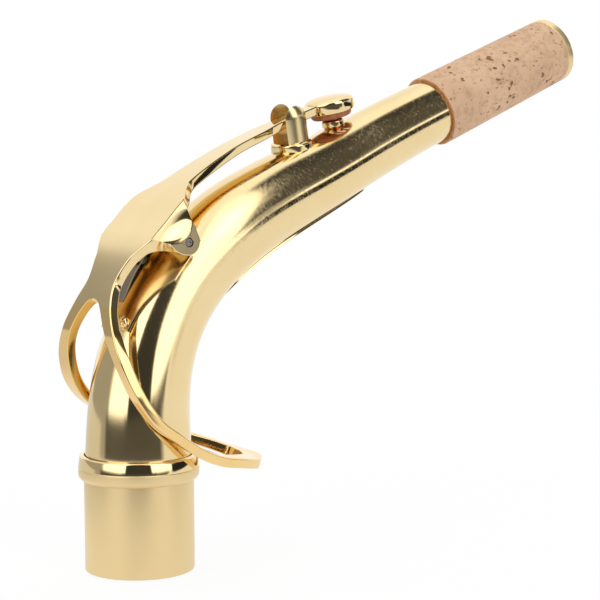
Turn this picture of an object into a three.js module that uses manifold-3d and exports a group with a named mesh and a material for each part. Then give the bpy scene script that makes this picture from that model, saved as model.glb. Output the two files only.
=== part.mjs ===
// An alto saxophone neck in lacquered brass: a bent, tapered tube on a tenon, a corked end for the
// mouthpiece, and an octave key whose ring goes round the tube and whose cup closes the octave vent.
// Millimetres, +Z up the tenon, origin at the centre of the tenon's lower end. +X is the side that
// the mouthpiece end points to, and the key lies on the back of the bend, which faces -X and +Z.
import * as THREE from "three";
import { mergeVertices } from "three/addons/utils/BufferGeometryUtils.js";
import Module from "manifold-3d";

const wasm = await Module();
wasm.setup();

// Tenon and collar.
const tenonRadius = 12.25;
const tenonWall = 0.85;
const tenonLength = 20.5; // the part of the tenon that shows below the collar
const jointGap = 0.25; // clearance of soldered and glued joints
const collarRadius = 13.5;
const collarHeight = 5.5;
const collarWebHeight = 0.6; // the inner rib that the tube and the tenon both seat on
const tubeSeatDepth = 2.6; // how far the tube goes down into the collar
const collarBevel = 0.9;
const collarBandHeight = 2.8; // the polished upper band
const collarGroove = 0.25;
const bevelLip = 0.3; // land that the bevel leaves round the tenon

// Neck tube. Stations are lengths along its axis, from the collar's top.
const tubeWall = 0.75;
const tubeBaseRadius = 11.9;
const tubeTipRadius = 7.4;
const neckRun = 124.5; // from the collar to the cork
const bendRadius = 39.8; // tightest radius of the bend
const bendShares = [
  [0, 0.06], [0.14, 0.92], [0.28, 1], [0.42, 0.59], [0.56, 0.06], [0.7, -0.04], [0.84, 0.12], [0.98, 0.12], [1, 0],
];
const taperShares = [[0, 1], [0.12, 0.735], [0.24, 0.46], [0.33, 0.255], [0.4, 0.17], [0.5, 0.145], [0.73, 0.1], [1, 0]];

// Mouthpiece end.
const corkLength = 43;
const corkWall = 0.85;
const corkTipWall = 0.85;
const corkEndRound = 0.35;
const endRingLength = 1.2;
const endRingRound = 0.4;
const endRingGap = 0.25;

// Octave vent and its key cup. A place share is a station's share of neckRun.
const ventPlaceShare = 0.7647;
const ventTilt = -0.192; // of its axis, from the tube's normal toward the cork, in radians
const ventBore = 1.1;
const ventWaist = 2.05;
const ventFlange = 2.7;
const ventFlangeHeight = 1.3;
const ventFoot = 4.6;
const ventHeight = 3.6;
const cupRadius = 5.9;
const cupWall = 0.7;
const cupSkirt = 2.7;
const cupDome = 1.15;
const padThickness = 1.7;
const padGap = 0.25;

// Guide post.
const guidePlaceShare = 0.6602;
const guideTilt = -0.218; // of its axis, from the tube's normal toward the cork, in radians
const guideRoll = 0.08; // toward the player's left, in radians
const guideOffset = 0.52; // of its base, which keeps the slot over the arm
const guideRadius = 4.15;
const guideFlangeRadius = 5.05;
const guideFlangeHeight = 2.5;
const guideProngHeight = 8.4;
const guideProngRound = 2.9; // height of the prongs' rounded tops
const guideSlotGap = 0.42;
const guideFootInset = 0.35;
const guideFootRise = 0.9; // of the foot's top over the tube, at the post's axis

// Octave key. Its outer face is a strip whose side view runs along the tube; rises are measured
// from the tube's axis, outward from the bend.
const leverRise = 18.4;
const leverThickness = 2.3;
const armHalfWidth = 2.45; // where the arm runs in the guide
const plateHalfWidth = 10.4;
const waistHalfWidth = 5.7;
const ringReach = 32.6; // of the ring's front, from the tenon's axis
const ringClearance = 1.05; // between the tube and the hole of the ring, at the sides
const ringBand = 3.4;
const ringThinning = 1.3; // the branch on the player's left is thinner by this at its thinnest
const ringLean = 0.155; // the ring's front leans to the player's left by this angle, in radians
const armUndercutShare = 0.26;

// Hinge of the key.
const pivotPlaceShare = 0.3422;
const pivotRise = 11.8;
const earHalfSpan = 13;
const earThickness = 1.5;
const earLobeRadius = 2.85;
const flankThickness = 1.7;
const flankBulge = 0.55;
const rodRadius = 0.85;
const rodGap = 0.2;
const barrelRadius = 1.95;
const barrelEndGap = 0.6;
const rodDimple = 0.42; // radius of the turning centre in each end

// Saddle and brace: sheets soldered to the tube.
const sheetThickness = 0.8;
const braceThickness = 0.45;
const saddlePlaceShares = [0.1992, 0.3727];
const saddleHalfAngle = 0.915;
const bracePlaceShares = [0.3614, 0.7743];
const braceHalfAngle = 0.5;
const studPlaceShare = 0.2096;
const studAngle = -0.39; // round the tube from its back, in radians
const studRadius = 1;
const studHeight = 1.5;

// Spring of the key: a flat steel strip, screwed under a boss of the key's plate.
const springWidth = 2.6;
const springThickness = 0.35;
const springRise = 12.55; // of the boss's end, from the tube's axis
const springScrewPlaceShare = 0.3052;
const springTipPlaceShare = 0.2378;
const springTipGap = 0.15;
const bossRadius = 1.9;
const screwHeadRadius = 1.4;
const screwHeadHeight = 0.55;
const screwShankRadius = 0.7;
const screwShankLength = 2.2;
const screwFit = 0.2;
const screwSlotWidth = 0.4;

// Facets.
const aroundTube = 36;
const aroundCollar = 48;
const aroundSmall = 24;
const holeSteps = 52;
const cutOverrun = 1; // how far cutting bodies stand out of what they cut
const lineStep = 0.5; // step of the axis's integration

const lacquer = { color: 0xdcb868, roughness: 0.14, metalness: 1 };
const satinBrass = { color: 0xd2b56e, roughness: 0.38, metalness: 1 };
const corkSheet = { color: 0xd9ae84, roughness: 0.9, metalness: 0 };
const steel = { color: 0x8b8a88, roughness: 0.35, metalness: 1 };
const padLeather = { color: 0xb4572f, roughness: 0.7, metalness: 0 };

const lerpRow = (rows, x) => {
  let i = 1;
  while (i < rows.length - 1 && rows[i][0] < x) i += 1;
  const [x0, y0] = rows[i - 1];
  const [x1, y1] = rows[i];
  return y0 + (y1 - y0) * Math.min(Math.max((x - x0) / (x1 - x0), 0), 1);
};
const smooth = (x) => {
  const t = Math.min(Math.max(x, 0), 1);
  return t * t * (3 - 2 * t);
};

// The axis of the tube, in the plane Y = 0: its curvature follows bendShares, and past its ends it
// runs on straight.
const tubeLength = neckRun + corkLength;
const collarTop = tenonLength + collarHeight;
const axis = [{ x: 0, z: collarTop, heading: 0 }];
for (let s = 0; s < tubeLength; s += lineStep) {
  const last = axis[axis.length - 1];
  const bend = lerpRow(bendShares, (s + lineStep / 2) / neckRun) / bendRadius;
  const heading = last.heading + bend * lineStep;
  const middle = (heading + last.heading) / 2;
  axis.push({ x: last.x + Math.sin(middle) * lineStep, z: last.z + Math.cos(middle) * lineStep, heading });
}

function frameAt(station) {
  const place = Math.min(Math.max(station / lineStep, 0), axis.length - 2);
  const i = Math.floor(place);
  const t = place - i;
  const heading = axis[i].heading * (1 - t) + axis[i + 1].heading * t;
  const tangent = new THREE.Vector3(Math.sin(heading), 0, Math.cos(heading));
  const outward = new THREE.Vector3(-Math.cos(heading), 0, Math.sin(heading));
  const point = new THREE.Vector3(
    axis[i].x * (1 - t) + axis[i + 1].x * t,
    0,
    axis[i].z * (1 - t) + axis[i + 1].z * t,
  ).addScaledVector(tangent, station - place * lineStep);
  return { point, tangent, outward, heading };
}

// A point by its station, its rise outward of the bend and its place to the side.
function onNeck(station, rise, side) {
  const frame = frameAt(station);
  const p = frame.point.addScaledVector(frame.outward, rise);
  p.y += side;
  return p;
}

const taper = new THREE.CatmullRomCurve3(taperShares.map(([s, k]) => new THREE.Vector3(s, k, 0)));
const taperTable = taper.getPoints(aroundTube).map((p) => [p.x, p.y]);
const outwardLean = (frame) => Math.PI / 2 - frame.heading;
function tubeRadius(station) {
  return tubeTipRadius + (tubeBaseRadius - tubeTipRadius) * lerpRow(taperTable, station / tubeLength);
}

function solidOf(geometry) {
  const bare = geometry.index ? geometry.toNonIndexed() : geometry.clone();
  bare.deleteAttribute("normal");
  bare.deleteAttribute("uv");
  const merged = mergeVertices(bare);
  const p = merged.attributes.position;
  const corners = [];
  let volume = 0;
  const [a, b, c] = [new THREE.Vector3(), new THREE.Vector3(), new THREE.Vector3()];
  for (let i = 0; i < merged.index.count; i += 3) {
    const [i0, i1, i2] = [0, 1, 2].map((k) => merged.index.getX(i + k));
    if (i0 === i1 || i1 === i2 || i2 === i0) continue;
    corners.push(i0, i1, i2);
    a.fromBufferAttribute(p, i0);
    b.fromBufferAttribute(p, i1);
    c.fromBufferAttribute(p, i2);
    volume += a.dot(b.cross(c));
  }
  if (volume < 0) corners.reverse();
  const mesh = { numProp: 3, vertProperties: p.array, triVerts: new Uint32Array(corners) };
  return new wasm.Manifold(new wasm.Mesh(mesh));
}

function geometryOf(solid) {
  const mesh = solid.getMesh();
  const geometry = new THREE.BufferGeometry();
  geometry.setAttribute("position", new THREE.BufferAttribute(mesh.vertProperties, 3));
  geometry.setIndex(new THREE.BufferAttribute(mesh.triVerts, 1));
  return geometry.toNonIndexed();
}

function warp(geometry, place) {
  const p = geometry.attributes.position;
  const v = new THREE.Vector3();
  for (let i = 0; i < p.count; i += 1) {
    v.fromBufferAttribute(p, i);
    const q = place(v.x, v.y, v.z);
    p.setXYZ(i, q.x, q.y, q.z);
  }
  return geometry;
}

// A bar whose place (u, v, w) runs from 0 to 1 along, across and through it.
function warpedBar(along, across, deep, place) {
  const box = new THREE.BoxGeometry(1, 1, 1, along, across, deep);
  return solidOf(warp(box, (x, y, z) => place(x + 1 / 2, y + 1 / 2, z + 1 / 2)));
}

// A body of revolution about Z from rows of radius and height.
function turned(rows, around) {
  const profile = rows.map(([r, h]) => new THREE.Vector2(r, h));
  const closed = rows[0][0] !== 0 || rows[rows.length - 1][0] !== 0;
  if (closed) profile.push(profile[0].clone());
  return new THREE.LatheGeometry(profile, around).rotateX(Math.PI / 2);
}

// A body of revolution whose heights are stations of the neck.
function bentTurned(rows, around) {
  return solidOf(warp(turned(rows, around), (x, y, z) => onNeck(z, -x, y)));
}

// A cylinder that lies across the neck, along Y.
function crossPin(radius, halfLength, centre) {
  return solidOf(new THREE.CylinderGeometry(radius, radius, 2 * halfLength, aroundSmall)
    .translate(centre.x, centre.y, centre.z));
}

const stations = (from, to, count) =>
  Array.from({ length: count + 1 }, (_, i) => from + ((to - from) * i) / count);

// Tenon, collar and tube.
const tenonBore = tenonRadius - tenonWall;
const webBore = tubeBaseRadius - tubeWall;
const tubeSeat = collarTop - tubeSeatDepth;
const tenonSeat = tubeSeat - collarWebHeight;
const tenonSleeve = turned([[tenonBore, 0], [tenonRadius, 0], [tenonRadius, tenonSeat], [tenonBore, tenonSeat]],
  aroundCollar);

const tenonSocket = tenonRadius + jointGap;
const tubeSocket = tubeBaseRadius + jointGap;
const bandFoot = collarTop - collarBandHeight;
const tenonCollar = turned([
  [tenonSocket, tenonLength],
  [tenonSocket + bevelLip, tenonLength],
  [collarRadius, tenonLength + collarBevel],
  [collarRadius, bandFoot - collarGroove],
  [collarRadius - collarGroove, bandFoot],
  [collarRadius, bandFoot + collarGroove],
  [collarRadius, collarTop - collarGroove],
  [collarRadius - collarGroove, collarTop],
  [tubeSocket, collarTop],
  [tubeSocket, tubeSeat],
  [webBore, tubeSeat],
  [webBore, tenonSeat],
  [tenonSocket, tenonSeat],
], aroundCollar);

const tubeStations = [-tubeSeatDepth, 0, ...stations(0, 0.5 * neckRun, 15).slice(1),
  ...stations(0.5 * neckRun, tubeLength, 7).slice(1)];
const tubeRows = [
  ...tubeStations.map((s) => [tubeRadius(s), s]),
  ...tubeStations.map((s) => [tubeRadius(s) - tubeWall, s]).reverse(),
];
const ventStation = ventPlaceShare * neckRun;
const ventFrame = frameAt(ventStation);
const ventLean = outwardLean(ventFrame) + ventTilt;
const ventDrill = solidOf(new THREE.CylinderGeometry(ventBore, ventBore, tubeTipRadius, aroundSmall)
  .rotateX(Math.PI / 2)
  .rotateY(-ventLean)
  .translate(...onNeck(ventStation, tubeRadius(ventStation), 0)));
const neckTube = bentTurned(tubeRows, aroundTube).subtract(ventDrill);

// Cork and end ring.
const corkStations = stations(neckRun, tubeLength, 5);
const corkOuter = (s) => {
  const t = (s - neckRun) / corkLength;
  return tubeRadius(s) + corkWall * (1 - t) + corkTipWall * t + jointGap / 2;
};
const corkRows = [
  ...corkStations.slice(0, -1).map((s) => [corkOuter(s), s]),
  [corkOuter(tubeLength), tubeLength - corkEndRound],
  [corkOuter(tubeLength) - corkEndRound, tubeLength],
  ...corkStations.map((s) => [tubeRadius(s) + jointGap, s]).reverse(),
];
const mouthpieceCork = bentTurned(corkRows, aroundTube);

const ringStart = tubeLength + endRingGap;
const ringEnd = ringStart + endRingLength;
const endRing = bentTurned([
  [corkOuter(tubeLength), ringStart],
  [corkOuter(tubeLength), ringEnd - endRingRound],
  [corkOuter(tubeLength) - endRingRound, ringEnd],
  [tubeTipRadius - tubeWall, ringEnd],
  [tubeTipRadius - tubeWall, ringStart],
], aroundTube);

// Cup, pad and vent.
const place = (geometry, frame, rise, lean) =>
  geometry.rotateY(-lean).translate(...frame.point.clone().addScaledVector(frame.outward, rise));
const ventSkin = tubeRadius(ventStation);
const padFoot = ventHeight + padGap;
const padTop = padFoot + padThickness;
const cupFoot = padFoot + padThickness / 2;
const cupTop = cupFoot + cupSkirt;
const padRadius = cupRadius - cupWall - padGap;
const cup = solidOf(place(turned([
  [0, padTop + padGap],
  [padRadius + padGap, padTop + padGap],
  [padRadius + padGap, cupFoot],
  [cupRadius, cupFoot],
  [cupRadius, cupTop],
  [0.86 * cupRadius, cupTop + 0.42 * cupDome],
  [0.6 * cupRadius, cupTop + 0.78 * cupDome],
  [0.3 * cupRadius, cupTop + 0.95 * cupDome],
  [0, cupTop + cupDome],
], aroundSmall), ventFrame, ventSkin, ventLean));
const cupKeepOut = solidOf(place(turned([
  [0, cupFoot - cutOverrun],
  [cupRadius + jointGap, cupFoot - cutOverrun],
  [cupRadius + jointGap, cupTop + jointGap / 2],
  [0.86 * cupRadius, cupTop + 0.42 * cupDome + jointGap],
  [0.6 * cupRadius, cupTop + 0.78 * cupDome + jointGap],
  [0.3 * cupRadius, cupTop + 0.95 * cupDome + jointGap],
  [0, cupTop + cupDome + jointGap],
], aroundSmall), ventFrame, ventSkin, ventLean));
const pad = solidOf(place(turned([
  [0, padFoot],
  [0.8 * padRadius, padFoot],
  [padRadius, padFoot + padThickness / 4],
  [padRadius, padTop],
  [0, padTop],
], aroundSmall), ventFrame, ventSkin, ventLean));

// The octave key's strip: each row holds a station, a rise (outward ones as shares of leverRise,
// inward ones as shares of ringReach) and the strip's half width as a share of the ring's.
const leverRowShares = [
  [0.746, 0.872, 0.14],
  [0.646, 0.947, 0.15],
  [0.602, 0.967, 0.2],
  [0.523, 1, 0.22],
  [0.42, 1.016, 0.32],
  [0.378, 1.008, 0.63],
  [0.345, 0.986, 0.64],
  [0.314, 0.991, 0.638],
  [0.282, 0.996, 0.43],
  [0.25, 0.978, 0.35],
  [0.218, 0.964, 0.46],
  [0.185, 0.91, 0.65],
  [0.151, 0.793, 0.816],
  [0.11, 0.58, 0.93],
  [0.07, 0.28, 0.985],
  [0.045, -0.03, 1],
  [0.014, -0.25, 0.91],
  [-0.009, -0.45, 0.79],
  [-0.026, -0.68, 0.62],
  [-0.043, -0.89, 0.36],
  [-0.049, -1, 0.1],
];
const holeShares = [
  [0.488, 0], [0.492, 0.12], [0.503, 0.24], [0.53, 0.42], [0.57, 0.62], [0.61, 0.735], [0.67, 0.87],
  [0.72, 0.97], [0.76, 1], [0.8, 0.955], [0.85, 0.78], [0.9, 0.56], [0.935, 0.33], [0.952, 0.16], [0.958, 0],
];
const ringHoleHalfWidth = tubeBaseRadius + ringClearance;
const ringHalfWidth = ringHoleHalfWidth + ringBand;
const leverLine = new THREE.CatmullRomCurve3(leverRowShares.map(([s, r]) =>
  onNeck(s * neckRun, r * (r > 0 ? leverRise : ringReach), 0)));
const widthLine = new THREE.CatmullRomCurve3(leverRowShares.map(([, , w], i) =>
  new THREE.Vector3(i / (leverRowShares.length - 1), w, 0)));

// The strip's frame at t from 0 at the cup to 1 at the ring's front.
function stripAt(t) {
  const point = leverLine.getPoint(t);
  const along = leverLine.getTangent(t);
  const outward = new THREE.Vector3(along.z, 0, -along.x);
  const lean = ringLean * smooth((t - 0.62) / 0.2);
  const side = new THREE.Vector3(0, Math.cos(lean), 0).addScaledVector(outward, -Math.sin(lean));
  return { point, outward, side };
}
const stripPoint = (t, side, depth) => {
  const frame = stripAt(t);
  return frame.point.addScaledVector(frame.side, side).addScaledVector(frame.outward, -depth);
};

const armEnd = 0.1; // share of the strip that runs on the arm
const stripHalfWidth = (t) => widthLine.getPoint(t).y * ringHalfWidth;
const bladeSteps = 84;
const blade = warpedBar(bladeSteps, 2, 2, (u, v, w) => {
  const half = stripHalfWidth(u);
  const under = armUndercutShare * (1 - smooth((u - armEnd) / armEnd)) * Math.max(0, 2 * w - 1);
  return stripPoint(u, (2 * v - 1) * half * (1 - under), w * leverThickness);
});
const holeFrom = holeShares[0][0];
const holeTo = holeShares[holeShares.length - 1][0];
const hole = warpedBar(holeSteps, 1, 1, (u, v, w) => {
  const eased = (1 - Math.cos(Math.PI * u)) / 2;
  const t = holeFrom + (holeTo - holeFrom) * eased;
  const thinning = ringThinning * smooth((t - 0.55) / 0.08) * smooth((0.77 - t) / 0.08) * (1 - v);
  const half = Math.max(lerpRow(holeShares, t) * ringHoleHalfWidth, jointGap) + thinning;
  return stripPoint(t, (2 * v - 1) * half, leverThickness * w + cutOverrun * (2 * w - 1));
});

// Flanks bend down from the plate's sides to the ears that hold the hinge rod.
const pivot = onNeck(pivotPlaceShare * neckRun, pivotRise, 0);
const creaseFrom = 0.246;
const creaseTo = 0.352;
const arcWide = 2.04 * earLobeRadius;
const arcHigh = 1.61 * earLobeRadius;
const arcRight = 0.25 * earLobeRadius;
const arcTop = 1.58 * earLobeRadius;
function flankSkin(u, v, side) {
  const crease = stripPoint(creaseFrom + (creaseTo - creaseFrom) * u, 0, 0);
  const turn = (Math.PI / 2) * u;
  const ear = pivot.clone().add(new THREE.Vector3(
    arcRight - arcWide * (1 - Math.cos(turn)),
    0,
    arcTop - arcHigh * Math.sin(turn),
  ));
  crease.y = side * (plateHalfWidth - jointGap / 2);
  ear.y = side * earHalfSpan;
  const bulge = flankBulge * 4 * v * (1 - v);
  const p = crease.lerp(ear, v);
  p.y += side * bulge;
  p.x -= bulge / 2;
  return p;
}
function flank(side) {
  return warpedBar(10, 5, 1, (u, v, w) => {
    const d = 0.02;
    const du = flankSkin(u + d, v, side).sub(flankSkin(u - d, v, side));
    const dv = flankSkin(u, v + d, side).sub(flankSkin(u, v - d, side));
    const normal = du.cross(dv).normalize();
    if (normal.y * side < 0) normal.negate();
    return flankSkin(u, v, side).addScaledVector(normal, -flankThickness * w);
  });
}
function ear(side) {
  const r = earLobeRadius;
  const shape = new THREE.Shape();
  shape.moveTo(arcRight - arcWide, arcTop - arcHigh);
  shape.quadraticCurveTo(arcRight - arcWide + 0.6 * r, -0.9 * r, -0.17 * r, -r);
  shape.absarc(0, 0, r, -1.74, 0.25, false);
  shape.lineTo(0.6 * r, 1.25 * r);
  shape.lineTo(arcRight, arcTop);
  shape.absellipse(arcRight - arcWide, arcTop, arcWide, arcHigh, 0, -Math.PI / 2, true);
  const plate = new THREE.ExtrudeGeometry(shape, { depth: earThickness, bevelEnabled: false, curveSegments: 8 });
  const near = side * earHalfSpan + (side < 0 ? earThickness : 0);
  return solidOf(plate.rotateX(Math.PI / 2).translate(pivot.x, near, pivot.z));
}
// The spring, its screw and the boss that they hang from.
const springScrewStation = springScrewPlaceShare * neckRun;
const springTipStation = springTipPlaceShare * neckRun;
const springFrame = frameAt(springScrewStation);
const alongBoss = (radius, from, to) => solidOf(place(
  new THREE.CylinderGeometry(radius, radius, to - from, aroundSmall).rotateX(Math.PI / 2),
  springFrame,
  (from + to) / 2,
  outwardLean(springFrame),
));
const boss = alongBoss(bossRadius, springRise, leverRise - leverThickness / 2);
const screwHoleRadius = screwShankRadius + screwFit;
const screwHole = alongBoss(screwHoleRadius, springRise - cutOverrun, springRise + screwShankLength);
const springTop = springRise - screwFit;
const springTipTop = tubeRadius(springTipStation) + jointGap + sheetThickness + springTipGap + springThickness;
const springHeel = springScrewStation + bossRadius;
const keySpring = warpedBar(16, 4, 1, (u, v, w) => {
  const station = springHeel + (springTipStation - springHeel) * u;
  const top = springTop + (springTipTop - springTop) * smooth((u - 1 / 3) * 1.5);
  return onNeck(station, top - w * springThickness, (v - 1 / 2) * springWidth);
}).subtract(screwHole);
const headSeat = springTop - springThickness - screwFit;
const screwSlot = solidOf(place(
  new THREE.BoxGeometry(3 * screwHeadRadius, screwSlotWidth, screwHeadHeight),
  springFrame,
  headSeat - screwHeadHeight,
  outwardLean(springFrame),
));
const springScrew = solidOf(place(turned([
  [0, -screwHeadHeight],
  [0.65 * screwHeadRadius, -screwHeadHeight],
  [screwHeadRadius, -0.6 * screwHeadHeight],
  [screwHeadRadius, 0],
  [screwShankRadius, 0],
  [screwShankRadius, screwShankLength],
  [0, screwShankLength],
], aroundSmall), springFrame, headSeat, outwardLean(springFrame))).subtract(screwSlot);

let octaveKey = blade.subtract(hole).subtract(cupKeepOut).add(boss).subtract(screwHole);
for (const side of [-1, 1]) octaveKey = octaveKey.add(flank(side)).add(ear(side));
octaveKey = octaveKey.subtract(crossPin(rodRadius + rodGap, earHalfSpan + cutOverrun, pivot));

// Vent.
const tubeKeepOut = bentTurned(tubeStations.map((s) => [tubeRadius(s) + jointGap, s])
  .concat([[0, tubeLength], [0, -tubeSeatDepth]]).reverse(), aroundTube);
const ventPip = solidOf(place(turned([
  [ventBore, -tubeWall],
  [ventFoot, -tubeWall],
  [ventFoot, 0.06 * ventHeight],
  [0.68 * ventFoot, 0.16 * ventHeight],
  [ventWaist, 0.24 * ventHeight],
  [ventFlange, 0.24 * ventHeight + 0.3 * ventFlangeHeight],
  [ventFlange, 0.24 * ventHeight + 0.7 * ventFlangeHeight],
  [ventWaist, 0.24 * ventHeight + ventFlangeHeight],
  [ventWaist, ventHeight],
  [ventBore, ventHeight],
], aroundSmall), ventFrame, ventSkin, ventLean)).subtract(tubeKeepOut);

// Guide post: a turned bullet on a flange, slotted for the arm, on a foot shaped to the tube.
const guideStation = guidePlaceShare * neckRun;
const guideFrame = frameAt(guideStation);
const guideLean = outwardLean(guideFrame) + guideTilt;
const guideBase = tubeRadius(guideStation) + guideFootRise;
const guideTop = guideFlangeHeight + guideProngHeight;
const guideSlot = armHalfWidth + guideSlotGap;
const guideBody = solidOf(turned([
  [0, 0],
  [guideFlangeRadius, 0],
  [guideFlangeRadius, 0.85 * guideFlangeHeight],
  [guideRadius, guideFlangeHeight],
  [guideRadius, guideTop - guideProngRound],
  [0.97 * guideRadius, guideTop - 0.45 * guideProngRound],
  [0.85 * guideRadius, guideTop - 0.14 * guideProngRound],
  [0.65 * guideRadius, guideTop],
  [0, guideTop],
], aroundSmall));
const slotHeight = guideProngHeight + cutOverrun;
const slotBox = solidOf(new THREE.BoxGeometry(4 * guideRadius, 2 * guideSlot, slotHeight)
  .translate(0, 0, guideFlangeHeight + slotHeight / 2));
const placeGuide = (geometry) =>
  place(geometry.rotateX(guideRoll), guideFrame, guideBase, guideLean).translate(0, guideOffset, 0);
const guidePost = solidOf(placeGuide(geometryOf(guideBody.subtract(slotBox)))).subtract(tubeKeepOut);
const footDepth = guideFootRise + guideFlangeRadius * (1 - Math.min(guideTilt, 0));
const guideFoot = solidOf(placeGuide(turned([
  [0, -footDepth],
  [guideFlangeRadius, -footDepth],
  [guideFlangeRadius - guideFootInset, 0],
  [0, 0],
], aroundSmall))).subtract(tubeKeepOut);

// Sheets soldered on the tube, by their half angle at each station.
function sheet([fromShare, toShare], thickness, halfAngle, facing, along, across) {
  return warpedBar(along, across, 1, (u, v, w) => {
    const station = (fromShare + (toShare - fromShare) * u) * neckRun;
    const angle = facing + (2 * v - 1) * halfAngle(u);
    const radius = tubeRadius(station) + jointGap + thickness * w;
    return onNeck(station, radius * Math.cos(angle), radius * Math.sin(angle));
  });
}
const saddleShares = [[0, 0.53], [0.07, 0.55], [0.17, 0.59], [0.26, 0.65], [0.4, 0.78], [0.54, 0.95], [0.57, 1], [0.78, 0.98], [1, 0.9]];
const barrelTrough = crossPin(barrelRadius + jointGap, earHalfSpan, pivot);
const saddleSpan = (u) => saddleHalfAngle * lerpRow(saddleShares, u);
const saddle = sheet(saddlePlaceShares, sheetThickness, saddleSpan, 0, 20, 12).subtract(barrelTrough);
const leaf = (u) => braceHalfAngle * Math.sqrt(Math.max(Math.sin(Math.PI * (0.03 + 0.94 * u)), 0));
const brace = sheet(bracePlaceShares, braceThickness, leaf, Math.PI, 26, 6);

const barrelHalf = earHalfSpan - earThickness - barrelEndGap;
const hingeBarrel = crossPin(barrelRadius, barrelHalf, pivot)
  .subtract(crossPin(rodRadius + rodGap, earHalfSpan, pivot));
const rodHalf = earHalfSpan - 0.1 * earThickness;
const dimple = (side) => solidOf(new THREE.CylinderGeometry(rodDimple, rodDimple, 3 * rodDimple, aroundSmall)
  .translate(pivot.x, side * rodHalf, pivot.z));
const hingeRod = crossPin(rodRadius, rodHalf, pivot).subtract(dimple(-1)).subtract(dimple(1));

const studStation = studPlaceShare * neckRun;
const studSeat = tubeRadius(studStation) + sheetThickness + 2 * jointGap;
const saddleStud = solidOf(turned([
  [0, 0],
  [studRadius, 0],
  [studRadius, 0.5 * studHeight],
  [0.75 * studRadius, 0.85 * studHeight],
  [0, studHeight],
], aroundSmall)
  .rotateX(-studAngle)
  .rotateY(-outwardLean(frameAt(studStation)))
  .translate(...onNeck(studStation, studSeat * Math.cos(studAngle), studSeat * Math.sin(studAngle))));

const part = new THREE.Group();
function add(parent, name, shape, look) {
  const geometry = shape instanceof wasm.Manifold ? geometryOf(shape) : shape;
  const mesh = new THREE.Mesh(geometry, new THREE.MeshStandardMaterial(look));
  mesh.name = name;
  parent.add(mesh);
}
const neck = new THREE.Group();
const key = new THREE.Group();
part.add(neck, key);
add(neck, "neck_tube", neckTube, lacquer);
add(neck, "tenon_sleeve", tenonSleeve, satinBrass);
add(neck, "tenon_collar", tenonCollar, lacquer);
add(neck, "mouthpiece_cork", mouthpieceCork, corkSheet);
add(neck, "mouthpiece_end_ring", endRing, lacquer);
add(neck, "octave_vent_pip", ventPip, lacquer);
add(neck, "key_guide_post", guidePost, lacquer);
add(neck, "guide_post_foot", guideFoot, lacquer);
add(neck, "key_saddle", saddle, lacquer);
add(neck, "underside_brace", brace, lacquer);
add(neck, "hinge_barrel", hingeBarrel, lacquer);
add(neck, "hinge_rod", hingeRod, steel);
add(neck, "saddle_stud", saddleStud, lacquer);
add(key, "octave_key_lever", octaveKey, lacquer);
add(key, "pad_cup", cup, lacquer);
add(key, "key_pad", pad, padLeather);
add(key, "key_spring", keySpring, steel);
add(key, "spring_screw", springScrew, steel);

export default part;
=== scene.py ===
# %% [markdown]
# # An alto saxophone neck, dressed in lacquered brass
# The neck is a bent, tapered brass tube. A satin tenon below slides into the instrument, a cork above
# holds the mouthpiece, and one key lies on the back of the bend: its ring goes round the tube and its
# cup closes a small vent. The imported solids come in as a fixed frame. Each cell then works one visible
# piece out as a surface with numpy, in millimetres, and puts it where the frame has its solid.

# %% Load the frame
import math
import bmesh
import bpy
import numpy as np
from mathutils import Matrix, Vector


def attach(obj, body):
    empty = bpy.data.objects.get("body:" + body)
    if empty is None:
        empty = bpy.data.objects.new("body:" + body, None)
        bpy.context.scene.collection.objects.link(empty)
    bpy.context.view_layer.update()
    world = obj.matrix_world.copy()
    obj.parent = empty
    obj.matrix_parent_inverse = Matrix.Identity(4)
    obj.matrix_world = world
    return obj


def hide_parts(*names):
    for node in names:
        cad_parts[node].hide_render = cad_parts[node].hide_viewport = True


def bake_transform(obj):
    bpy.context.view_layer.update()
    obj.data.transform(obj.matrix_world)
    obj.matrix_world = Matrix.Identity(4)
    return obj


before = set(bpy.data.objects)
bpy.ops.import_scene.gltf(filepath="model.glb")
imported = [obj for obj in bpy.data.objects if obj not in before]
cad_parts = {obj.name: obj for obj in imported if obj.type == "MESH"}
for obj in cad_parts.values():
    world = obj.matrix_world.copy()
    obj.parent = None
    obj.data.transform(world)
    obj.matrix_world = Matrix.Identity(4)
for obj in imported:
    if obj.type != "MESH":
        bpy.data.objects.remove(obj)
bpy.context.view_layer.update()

# %% [markdown]
# ## The axis of the tube
# Everything on a neck follows its bent axis, so the axis comes first. Its curvature is a table along
# the run, and adding it up twice gives the heading and then the place. A station is the length along
# the axis from the collar's top. A rise is measured outward from the bend, and a side along Y.

# %% Axis, frames and radius
MM = 0.001
COLLAR_TOP = 26.0
NECK_RUN = 124.5
TUBE_LENGTH = 167.5
BEND_RADIUS = 39.8
BEND_TABLE = np.array([[0, 0.06], [0.14, 0.92], [0.28, 1], [0.42, 0.59], [0.56, 0.06], [0.7, -0.04],
                       [0.84, 0.12], [0.98, 0.12], [1, 0]])
TAPER_TABLE = np.array([[0, 1], [0.12, 0.735], [0.24, 0.46], [0.33, 0.255], [0.4, 0.17], [0.5, 0.145],
                        [0.73, 0.1], [1, 0]])
TUBE_BASE, TUBE_TIP, TUBE_WALL = 11.9, 7.4, 0.75


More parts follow.
